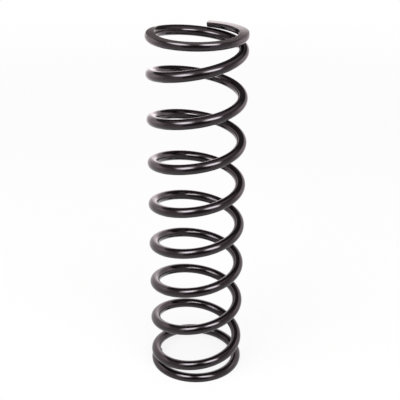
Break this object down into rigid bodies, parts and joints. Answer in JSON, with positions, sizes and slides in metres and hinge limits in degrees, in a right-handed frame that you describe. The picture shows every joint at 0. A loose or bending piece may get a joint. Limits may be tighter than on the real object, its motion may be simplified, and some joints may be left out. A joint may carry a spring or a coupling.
{
  "type": "coilover spring",
  "caption": "Straight helical compression spring for a coilover damper, closed and ground flat at both ends, gloss black powder coat.",
  "frame": {"origin": "on the coil's axis, in the plane of the lower ground face", "axes": "+Z along the coil's axis towards the upper end; the upper tip of the wire lies 80 degrees from +X towards +Y"},
  "size_m": [0.082, 0.082, 0.3048],
  "materials": {
    "powder_coat": "gloss black powder coat"
  },
  "bodies": {
    "root": {"coil_spring": "powder_coat"}
  },
  "joints": []
}
